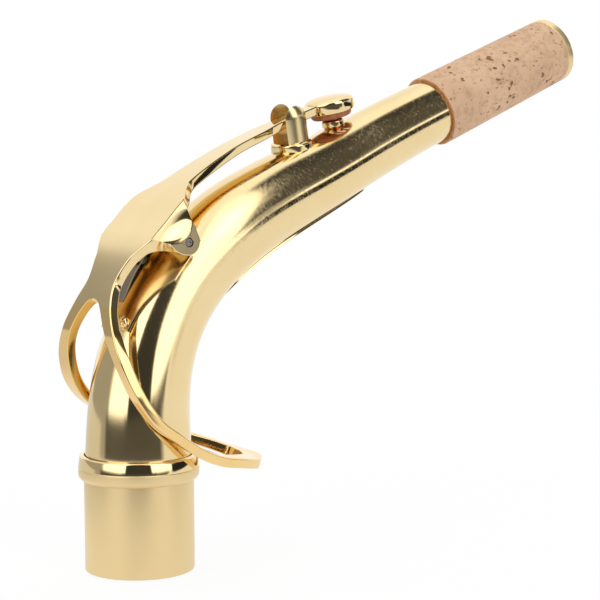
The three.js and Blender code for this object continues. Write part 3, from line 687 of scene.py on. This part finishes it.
# %% Pip, cup and pad
VENT_HEIGHT, VENT_FOOT, VENT_WAIST, VENT_BEAD = 3.6, 4.6, 2.05, 2.7
vent_skin = float(tube_radius(VENT_STATION))


def on_vent(grid):
    """A grid turned about Z stood over the vent."""
    return place(grid, VENT_STATION, vent_skin, VENT_LEAN)


pip = turned([
    [VENT_BORE, -0.75], [VENT_FOOT - 1.2, -0.75], [VENT_FOOT, -0.5], [VENT_FOOT, 0.2],
    [0.66 * VENT_FOOT, 0.5],
    [VENT_WAIST + 0.1, 0.85], [VENT_BEAD, 1.15], [VENT_BEAD, 2.5], [VENT_WAIST, 2.8],
    [VENT_WAIST, VENT_HEIGHT], [VENT_BORE, VENT_HEIGHT]],
    [0.05, 0.1, 0.1, 0.2, 0.9, 0.12, 0.62, 0.62, 0.12, 0.15, 0.1], 64, 7, True)
pip_bead = (pip[:-1, 0, 2] > 1) & (pip[:-1, 0, 2] < 2.9) & (pip[:-1, 0, 0] > VENT_WAIST + 0.02)
# The bead is bright brass; the foot and waist take the darker brass that is painted shade.
make_piece("octave_vent_pip_skin", [(on_vent(pip), 0, None, pip_bead), (on_vent(pip), 1, None, ~pip_bead)],
           [brass_bright, brass_pip_painted_shade], "octave_vent_pip")

PAD_R, PAD_FOOT, PAD_TOP = 4.95, VENT_HEIGHT + 0.25, VENT_HEIGHT + 1.95
CUP_R, CUP_FOOT, CUP_TOP, CUP_DOME = 5.9, VENT_HEIGHT + 1.1, VENT_HEIGHT + 3.8, 1.15
cup = turned([
    [0, PAD_TOP + 0.25], [5.2, PAD_TOP + 0.25], [5.2, CUP_FOOT], [CUP_R - 0.25, CUP_FOOT],
    [CUP_R, CUP_FOOT + 0.9], [CUP_R, CUP_TOP - 0.1], [0.86 * CUP_R, CUP_TOP + 0.42 * CUP_DOME],
    [0.6 * CUP_R, CUP_TOP + 0.78 * CUP_DOME], [0.3 * CUP_R, CUP_TOP + 0.95 * CUP_DOME],
    [0, CUP_TOP + CUP_DOME]], [0, 0.1, 0.1, 0.15, 0.6, 0.7, 0.8, 0.8, 0.8, 0], 96, 6)
make_piece("pad_cup_skin", [on_vent(cup)], [brass_bright], "pad_cup", "octave_key")
pad = turned([[0, PAD_FOOT], [2.15, PAD_FOOT], [2.45, PAD_FOOT - 0.6], [4.5, PAD_FOOT - 0.6],
              [PAD_R, PAD_FOOT + 0.2], [PAD_R, PAD_TOP], [0, PAD_TOP]],
              [0, 0.1, 0.3, 0.5, 0.4, 0.2, 0], 80, 5)
make_piece("key_pad_disc", [on_vent(pad)], [leather], "key_pad", "octave_key")

# %% [markdown]
# ## Guide post
# A turned post with a slot for the key's arm. Each of its two prongs is what is left of a round bullet
# beyond the slot: an arc of the circle, closed by the slot's flat wall. A narrower foot carries it.

# %% Guide post
GUIDE_STATION, GUIDE_LEAN, GUIDE_ROLL, GUIDE_OFFSET = 0.6602 * NECK_RUN, 0.22, 0.08, 0.52
GUIDE_R, FLANGE_R, FLANGE_H, GUIDE_PRONG, GUIDE_SLOT = 4.15, 5.05, 2.5, 8.4, 2.87
guide_base = float(tube_radius(GUIDE_STATION)) + 0.9


def place_guide(grid):
    """A grid turned about Z stood where the post stands: rolled about X, leaned, and moved aside."""
    x, y, z = np.moveaxis(grid, -1, 0)
    c, s = math.cos(GUIDE_ROLL), math.sin(GUIDE_ROLL)
    rolled = np.stack([x, c * y - s * z, s * y + c * z], -1)
    return place(rolled, GUIDE_STATION, guide_base, GUIDE_LEAN) + np.array([0, GUIDE_OFFSET, 0])


def prong(side):
    """At each height the circle of radius r beyond the slot: an arc of half angle acos(slot / r).

    The slot's wall is 2w wide there, and w follows a quarter ellipse over the prong's top."""
    top, crown = FLANGE_H + GUIDE_PRONG, 2.9
    turn = np.linspace(0, np.pi / 2, 28)
    below = np.linspace(FLANGE_H - 0.3, top - crown, 5)[:-1]
    height = np.concatenate([below, top - crown + crown * np.sin(turn)])
    widest = math.sqrt(GUIDE_R**2 - GUIDE_SLOT**2)
    w = np.concatenate([np.full(4, widest), widest * np.maximum(np.cos(turn), 0.01)])
    r = np.sqrt(GUIDE_SLOT**2 + w**2)
    half = np.arccos(GUIDE_SLOT / r)[:, None]
    turn = half * np.linspace(-1, 1, 33)
    r, height = r[:, None], height[:, None]
    arc = np.stack([r * np.sin(turn), side * r * np.cos(turn), height + 0 * turn], -1)
    wall = arc[:, ::-1].copy()
    wall[..., 0] = wall[:, :1, 0] + (wall[:, -1:, 0] - wall[:, :1, 0]) * np.linspace(0, 1, 33)
    wall[..., 1] = side * GUIDE_SLOT
    lid = np.stack([arc[-1], wall[-1, ::-1]])
    foot = np.stack([arc[0], wall[0, ::-1]])
    return [(place_guide(grid), finish, None, None)
            for grid, finish in ((arc, 2), (wall, 1), (lid, 2), (foot, 0))]


FLANGE_FOOT, FLANGE_RIM = -0.45, 2.1
flange = turned([[0, FLANGE_FOOT], [FLANGE_R, FLANGE_FOOT], [FLANGE_R, FLANGE_RIM],
                 [GUIDE_R + 0.1, FLANGE_H], [0, FLANGE_H]], [0, 0.35, 0.35, 0.1, 0], 80)
# The slot's flat walls (finish 1) take the darker brass that is painted shade.
post = make_piece("key_guide_post_skin", prong(-1) + prong(1) + [place_guide(flange)],
                  [brass_bright, brass_painted_shade, brass_soft], "key_guide_post")
soften(post, 0.22 * MM)

FOOT_TOP, FOOT_NARROW = FLANGE_FOOT - 0.01, [1, 0.7, 1]
foot = turned([[0, -5], [FLANGE_R - 0.1, -5], [FLANGE_R - 0.4, -1.9],
               [FLANGE_R - 0.5, FOOT_TOP], [0, FOOT_TOP]], [0, 0.3, 1.2, 0.1, 0], 80, 6)
make_piece("guide_post_foot_skin", [place_guide(foot * FOOT_NARROW)], [brass_bright], "guide_post_foot")

# %% [markdown]
# ## Saddle, brace and stud
# Two thin sheets are soldered on the tube: the saddle under the key, cut in a shield shape, and a long
# leaf on the inside of the bend. A sheet is a patch of the tube's own surface, raised by its thickness.

# %% Sheets on the tube


def sheet_grids(start, end, low_lift, high_lift, half_angle, facing, along, across):
    """Points at (station, angle round the tube): two skins, and the wall between them as finish 1."""
    u, v = np.meshgrid(np.linspace(0, 1, along), np.linspace(-1, 1, across), indexing="ij")
    station = start + (end - start) * u
    angle = facing + v * half_angle(u)
    low, high = (on_skin(station, angle, lift) for lift in (low_lift, high_lift))
    return [low, high] + [(wall, 1, None, None) for wall in side_walls(low, high)]


def saddle_half(u):
    """The saddle's half angle: a table of shares along it, times an angle that grows a little upward."""
    return (0.915 + 0.1 * u**2) * np.interp(u, *SADDLE_TABLE.T)


def brace_half(u):
    """The brace's half angle: the root of a half wave, so that its ends are round points."""
    return 0.5 * np.sqrt(np.maximum(np.sin(np.pi * (0.03 + 0.94 * u)), 0))


SADDLE_TABLE = np.array([[0, 0.53], [0.07, 0.55], [0.17, 0.59], [0.26, 0.65], [0.4, 0.78], [0.54, 0.95],
                         [0.57, 1], [0.78, 0.98], [1, 0.9]])
SADDLE_TOP = 1.05
saddle = sheet_grids(0.1992 * NECK_RUN, 0.3727 * NECK_RUN, 0.05, SADDLE_TOP, saddle_half, 0, 90, 70)
# The saddle's skins take the darker brass that is painted shade; its bevelled rims are bright brass.
saddle = make_piece("key_saddle_sheet", saddle, [brass_painted_shade, brass_bright], "key_saddle")
brace = sheet_grids(0.3614 * NECK_RUN, 0.7743 * NECK_RUN, 0.05, 0.55, brace_half, math.pi, 120, 30)
brace = make_piece("underside_brace_leaf", brace, [brass_key, brass_key], "underside_brace")
for sheet, width in ((saddle, 0.42 * MM), (brace, 0.15 * MM)):
    soften(sheet, width).material = 1

STUD_STATION, STUD_ANGLE = 0.2096 * NECK_RUN, -0.39
stud = turned([[0, -0.6], [1, -0.6], [1, 0.75], [0.75, 1.3], [0, 1.5]], [0, 0.05, 0.4, 0.4, 0], 40, 5)
x, y, z = np.moveaxis(stud, -1, 0)
stud_seat = float(tube_radius(STUD_STATION)) + 1.3
c, s = math.cos(STUD_ANGLE), math.sin(STUD_ANGLE)
stud_rise, stud_side = (z + stud_seat) * c - y * s, (z + stud_seat) * s + y * c
stud = on_neck(STUD_STATION + x, stud_rise, stud_side)
make_piece("saddle_stud_skin", [stud], [brass_bright], "saddle_stud")

# %% [markdown]
# ## The octave key
# The key is one casting: a narrow arm, a flat plate, and a ring that opens round the tube. Its outer face
# is a strip. A curve gives the strip's side view, a second one its width, and a third the width of the
# hole in it. Each side of the strip is then a rounded bar between the hole's edge and the outer edge,
# and the two bars meet in the middle where there is no hole.

# %% Strip of the key
LEVER_RISE, RING_REACH, LEVER_T, RING_HALF, HOLE_HALF = 18.4, 32.6, 2.3, 16.35, 12.95
RING_LEAN, UNDERCUT, THINNING = 0.155, 0.26, 1.3
LEVER_ROWS = np.array([
    [0.746, 0.872, 0.14], [0.646, 0.947, 0.15], [0.602, 0.967, 0.2], [0.523, 1, 0.22],
    [0.42, 1.016, 0.32], [0.378, 1.008, 0.63], [0.345, 0.986, 0.64], [0.314, 0.991, 0.638],
    [0.282, 0.996, 0.43], [0.25, 0.978, 0.35], [0.218, 0.964, 0.46], [0.185, 0.91, 0.65],
    [0.151, 0.793, 0.816], [0.11, 0.58, 0.93], [0.07, 0.28, 0.985], [0.045, -0.03, 1],
    [0.014, -0.25, 0.91], [-0.009, -0.45, 0.79], [-0.026, -0.68, 0.62], [-0.043, -0.89, 0.36],
    [-0.049, -1, 0.1]])
HOLE_ROWS = np.array([
    [0.488, 0], [0.492, 0.12], [0.503, 0.24], [0.53, 0.42], [0.57, 0.62], [0.61, 0.735], [0.67, 0.87],
    [0.72, 0.97], [0.76, 1], [0.8, 0.955], [0.85, 0.78], [0.89, 0.56], [0.915, 0.35], [0.929, 0.17],
    [0.934, 0]])
rise = LEVER_ROWS[:, 1] * np.where(LEVER_ROWS[:, 1] > 0, LEVER_RISE, RING_REACH)
lever_points = on_neck(LEVER_ROWS[:, 0] * NECK_RUN, rise, 0)
count = np.linspace(0, 1, len(LEVER_ROWS))
width_points = np.stack([count, LEVER_ROWS[:, 2], 0 * count], 1)
hole_curve = curve_through(HOLE_ROWS * [40, 1], np.linspace(0, 1, 600)) / [40, 1]


def strip_half(t):
    """Half the strip's width at t, from 0 at the cup to 1 at the ring's front."""
    return curve_through(width_points, t)[..., 1] * RING_HALF


def hole_half(t, side):
    """Half the hole's width at t, 0 outside it. The branch on the -Y side is thinner for a stretch."""
    inside = (t > HOLE_ROWS[0, 0]) & (t < HOLE_ROWS[-1, 0])
    thinning = THINNING * smooth((t - 0.55) / 0.08) * smooth((0.77 - t) / 0.08) if side < 0 else 0
    return np.where(inside, np.maximum(np.interp(t, *hole_curve.T), 0) * HOLE_HALF + thinning, 0)


def strip_point(t, side, depth):
    """A point of the strip: t along it, side across it, and depth under its outer face."""
    t, side, depth = np.broadcast_arrays(np.asarray(t, float), side, depth)
    point = curve_through(lever_points, t)
    along = curve_through(lever_points, np.minimum(t + 1e-4, 1))
    along -= curve_through(lever_points, np.maximum(t - 1e-4, 0))
    along /= np.linalg.norm(along, axis=-1, keepdims=True)
    outward = np.stack([along[..., 2], 0 * t, -along[..., 0]], -1)
    lean = (RING_LEAN * smooth((t - 0.62) / 0.2))[..., None]
    across = np.array([0, 1, 0]) * np.cos(lean) - outward * np.sin(lean)
    return point + across * side[..., None] - outward * depth[..., None]


def bar_section(low, high, under, round_in, round_out, steps=5, flat=9):
    """Points (side, depth) round a bar between low and high: outer face, outer wall, back, inner wall.

    under narrows the back. Corners are quarter circles. Returns the loop and where the inner wall starts."""
    turn = np.linspace(0, np.pi / 2, steps + 1)
    ease = (1 - np.cos(np.linspace(0, np.pi, flat))) / 2
    low, high, under, a, b = (row[:, None] for row in (low, high, under, round_in, round_out))
    back, deep = high * (1 - under), LEVER_T + 0 * low
    parts = [
        (low + a + (high - b - low - a) * ease, 0 * low * ease),
        (high - b + b * np.sin(turn), b - b * np.cos(turn)),
        (back - b + b * np.cos(turn), deep - b + b * np.sin(turn)),
        (back - b + (low + a - back + b) * ease, deep * np.ones_like(ease)),
        (low + a - a * np.sin(turn), deep - a + a * np.cos(turn)),
        (low + a - a * np.cos(turn), a - a * np.sin(turn)),
    ]
    side = np.concatenate([p[0] for p in parts] + [parts[0][0][:, :1]], 1)
    depth = np.concatenate([p[1] for p in parts] + [parts[0][1][:, :1]], 1)
    start = sum(p[0].shape[1] for p in parts[:4]) - 1
    return side, depth, start


hole_from, hole_to = HOLE_ROWS[0, 0], HOLE_ROWS[-1, 0]
eased = (1 - np.cos(np.linspace(0, np.pi, 150))) / 2
strip_t = np.concatenate([np.linspace(0, hole_from, 150)[:-1], hole_from + (hole_to - hole_from) * eased,
                          np.linspace(hole_to, 1, 16)[1:]])
strip_w = strip_half(strip_t)
# The back is narrower than the face by undercut, except where the ring's branches begin: they flare.
flare = 0.036 * smooth((strip_t - 0.535) / 0.02) * smooth((0.67 - strip_t) / 0.07)
undercut = UNDERCUT * (1 - smooth((strip_t - 0.1) / 0.1)) - flare
in_hole = (strip_t[:-1] >= hole_from - 1e-9) & (strip_t[1:] <= hole_to + 1e-9)
in_ring = strip_t[:-1] > 0.5
lever_grids = []
for side in (-1, 1):
    hole_w = hole_half(strip_t, side)
    round_in, round_out = np.minimum(0.3, 0.5 * hole_w), np.minimum(0.38, 0.45 * (strip_w - hole_w))
    bar_side, bar_depth, inner_from = bar_section(hole_w, strip_w, undercut, round_in, round_out)
    points = strip_point(strip_t[:, None], side * bar_side, bar_depth)
    inner = np.arange(bar_side.shape[1] - 1) >= inner_from
    lever_grids += [(points, 0, None, ~inner & ~in_ring[:, None]),
                    (points, 4, None, ~inner & in_ring[:, None]),
                    (points, 2, None, inner & in_hole[:, None])]
    for row in (0, -1):
        centre = strip_point(strip_t[row], 0.0, np.array([0, LEVER_T]))
        loop = points[row][:inner_from + 1]
        lever_grids.append(np.stack([loop, np.linspace(centre[0], centre[1], len(loop))]))
print("ring's front at", strip_point(1.0, 0.0, 0.0).round(2), "mm")

# %% [markdown]
# ### Flanks and ears
# From the plate's sides two flanks bend down to flat ears that hold the hinge rod. A flank is a sheet
# between two curves, the plate's edge and the ear's back edge, with a slight belly.

# %% Flanks and ears
PIVOT = on_neck(0.3422 * NECK_RUN, 11.8, 0)
EAR_R, EAR_SPAN, EAR_T, EAR_LIP, ROD_HOLE = 2.85, 13.0, 1.5, 0.2, 1.05
CREASE_FROM, CREASE_RUN, CREASE_SIDE, BELLY, FLANK_T = 0.246, 0.106, 10.275, 0.55, 1.7
WEB_AT, WEB_BOW, WEB_T = 0.375, 1.7, 1.4
BOSS_R, BOSS_FROM, BOSS_TO = 1.9, 12.55, 17.25
ARC_W, ARC_H, ARC_RIGHT, ARC_TOP = 2.04 * EAR_R, 1.61 * EAR_R, 0.25 * EAR_R, 1.58 * EAR_R


def flank_skin(u, v, side):
    """u runs along the crease and the ear's arc, v from the crease down to the ear."""
    crease = strip_point(CREASE_FROM + CREASE_RUN * u, 0.0, 0.0)
    crease[..., 1] = side * CREASE_SIDE
    turn = np.pi / 2 * u
    ear_x, ear_z = ARC_RIGHT - ARC_W * (1 - np.cos(turn)), ARC_TOP - ARC_H * np.sin(turn)
    ear = PIVOT + np.stack([ear_x, 0 * turn, ear_z], -1)
    ear[..., 1] = side * EAR_SPAN
    w = v[..., None]
    skin = crease * (1 - w) + ear * w
    belly = BELLY * 4 * v * (1 - v)
    skin[..., 1] += side * belly
    skin[..., 0] -= belly / 2
    return skin


def flank_grids(side):
    """The skin, the same skin a thickness inside, and the four walls between them; the crease is painted dark
    as shade.
    """
    rows = np.concatenate([[0, 0.015, 0.03], np.linspace(0.05, 1, 28)])
    u, v = np.meshgrid(np.linspace(0, 1, 60), rows, indexing="ij")
    d = 0.01
    du = flank_skin(u + d, v, side) - flank_skin(u - d, v, side)
    dv = flank_skin(u, v + d, side) - flank_skin(u, v - d, side)
    normal = np.cross(du, dv)
    normal /= np.linalg.norm(normal, axis=-1, keepdims=True)
    normal *= np.sign(normal[..., 1:2] * side)
    high = flank_skin(u, v, side)
    low = high - normal * FLANK_T
    # The two rows next to the crease get the dark strip of painted shade.
    crease = np.broadcast_to(np.arange(len(rows) - 1) < 2, (59, len(rows) - 1))
    return [(high, 3, None, crease), (high, 0, None, ~crease), low] + side_walls(low, high)


def web_grids(side):
    """The fillet under the flank: ruled from the flank's lower edge to a parabola between bar and ear."""
    v = np.linspace(0, 1, 24)
    top = flank_skin(np.ones(24), v, side)
    start = strip_point(WEB_AT, side * 0.97 * float(strip_half(np.array(WEB_AT))), LEVER_T)
    end = PIVOT + np.array([-3.0, side * 12.4, -2.1])
    lift = strip_point(WEB_AT, 0.0, 0.0) - strip_point(WEB_AT, 0.0, 1.0)
    bottom = parabola(start, (start + end) / 2 + WEB_BOW * lift, end, v[:, None])
    blend = np.linspace(0, 1, 10)[:, None, None]
    face = top * (1 - blend) + bottom * blend
    back = face - np.array([0, side * WEB_T, 0])
    return [face, back] + side_walls(face, back)


def ear_outline():
    """The ear in side view: a round lobe about the rod, and the concave edge where the flank joins it."""
    r, left = EAR_R, ARC_RIGHT - ARC_W
    corners = np.array([[left, ARC_TOP - ARC_H], [left + 0.6 * r, -0.9 * r], [-0.17 * r, -r]])
    lead = parabola(*corners, np.linspace(0, 1, 12)[:, None])
    turn = np.linspace(-1.74, 0.25, 30)
    lobe = r * np.stack([np.cos(turn), np.sin(turn)], 1)
    back = np.linspace([0.6 * r, 1.25 * r], [ARC_RIGHT, ARC_TOP], 5)
    turn = np.linspace(0, np.pi / 2, 30)
    arc = np.stack([left + ARC_W * np.cos(turn), ARC_TOP - ARC_H * np.sin(turn)], 1)
    return np.vstack([lead[:-1], lobe, back[:-1], arc])


def ear_grids(side):
    """The outline carried through the ear's thickness: rounded rims, flat faces round the rod's hole."""
    line = ear_outline()
    ahead = np.roll(line[:-1], -1, 0) - np.roll(line[:-1], 1, 0)
    inward = np.stack([-ahead[:, 1], ahead[:, 0]], 1) / np.linalg.norm(ahead, axis=1, keepdims=True)
    inward = np.vstack([inward, inward[:1]])
    turn = np.linspace(0, np.pi / 2, 5)
    inset, sunk = EAR_LIP - EAR_LIP * np.sin(turn), EAR_LIP - EAR_LIP * np.cos(turn)
    inset, depth = np.concatenate([inset, inset[::-1]]), np.concatenate([sunk, EAR_T - sunk[::-1]])
    shape = line[None] + inward[None] * inset[:, None, None]
    points = np.stack([PIVOT[0] + shape[..., 0],
                       side * (EAR_SPAN + 0.03 - depth[:, None] + 0 * shape[..., 0]),
                       PIVOT[2] + shape[..., 1]], -1)
    toward = np.arctan2(shape[0, :, 1], shape[0, :, 0])
    bore = PIVOT[[0, 2]] + ROD_HOLE * np.stack([np.cos(toward), np.sin(toward)], 1)
    grids, holes = [points], []
    for row in (0, -1):
        hole = np.stack([bore[:, 0], points[row, :, 1], bore[:, 1]], 1)
        ring = points[row][None] + (hole - points[row])[None] * np.linspace(0, 1, 6)[:, None, None]
        grids.append((ring, 1, None, None))
        holes.append(hole)
    return grids + [np.stack(holes)]


for side in (-1, 1):
    lever_grids += flank_grids(side) + web_grids(side) + ear_grids(side)
boss = turned([[0, BOSS_FROM], [BOSS_R, BOSS_FROM], [BOSS_R, BOSS_TO], [0, BOSS_TO]], [0, 0.2, 0.1, 0], 48)
SCREW_STATION = 0.3052 * NECK_RUN
spring_lean = math.pi / 2 - float(np.interp(SCREW_STATION, axis_station, axis_heading))
lever_grids.append(place(boss, SCREW_STATION, 0, spring_lean))
# Finish 3 is the dark strip of painted shade along each crease.
make_piece("octave_key_skin", lever_grids, [brass_key, ear_satin, brass_edge, crease_painted_shade, brass_ring],
           "octave_key_lever", "octave_key", sharp=35)

# %% [markdown]
# ## Hinge, spring and screw
# The rod runs through both ears and turns in a barrel soldered to the saddle. Its ends have small turning
# centres. The flat spring hangs from a screw under the plate and pushes on the saddle.

# %% Hinge
def across_neck(rows, around=48):
    """Rows of (radius, side) turned about the hinge's line, which is parallel to Y."""
    grid = lathe(rows, around)
    return PIVOT + np.stack([grid[..., 0], grid[..., 2], grid[..., 1]], -1)


ROD_R, ROD_HALF, DIMPLE_R = 0.85, 12.85, 0.42
BARREL_R, BARREL_BORE, BARREL_HALF = 1.95, 1.05, 10.9
rod_end = [[0, 12.35], [DIMPLE_R, 12.6], [DIMPLE_R, ROD_HALF], [ROD_R, ROD_HALF], [ROD_R, 0]]
rod_rows = np.vstack([rod_end, np.array(rod_end)[::-1][1:] * [1, -1]])
make_piece("hinge_rod_skin", [across_neck(rod_rows)], [steel_blue], "hinge_rod",
           sharp=30)
barrel = rounded([[BARREL_BORE, -BARREL_HALF], [BARREL_R, -BARREL_HALF], [BARREL_R, BARREL_HALF],
                  [BARREL_BORE, BARREL_HALF]], 0.15)
make_piece("hinge_barrel_skin", [across_neck(barrel)], [brass_bright], "hinge_barrel")

# %% Spring and screw
SPRING_RISE, SPRING_T, SPRING_HALF, PAST_SCREW = 12.35, 0.35, 1.3, 1.9
TIP_STATION, TIP_GAP = 0.2378 * NECK_RUN, 0.15
tip_rise = float(tube_radius(TIP_STATION)) + SADDLE_TOP + TIP_GAP + SPRING_T
u, v = np.meshgrid(np.linspace(0, 1, 50), np.linspace(-SPRING_HALF, SPRING_HALF, 9), indexing="ij")
station = SCREW_STATION + PAST_SCREW + (TIP_STATION - SCREW_STATION - PAST_SCREW) * u
top = SPRING_RISE + (tip_rise - SPRING_RISE) * smooth((u - 1 / 3) * 1.5)
high, low = on_neck(station, top, v), on_neck(station, top - SPRING_T, v)
spring = make_piece("key_spring_strip", [low, high] + side_walls(low, high), [steel_blue], "key_spring", None,
                    30)
tuple(on_neck(36.0, 12.4, 0) * MM)
tuple(on_neck(30.6, tip_rise, 0) * MM)
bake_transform(spring)
head_seat = SPRING_RISE - SPRING_T - 0.2
screw = turned([[0, -0.55], [0.91, -0.55], [1.4, -0.33], [1.4, 0], [0.7, 0], [0.7, 2.2], [0, 2.2]],
               [0, 0.15, 0.1, 0.1, 0.05, 0.1, 0], 40)
make_piece("spring_screw_skin", [place(screw, SCREW_STATION, head_seat, spring_lean)],
           [steel_blue], "spring_screw", "octave_key")
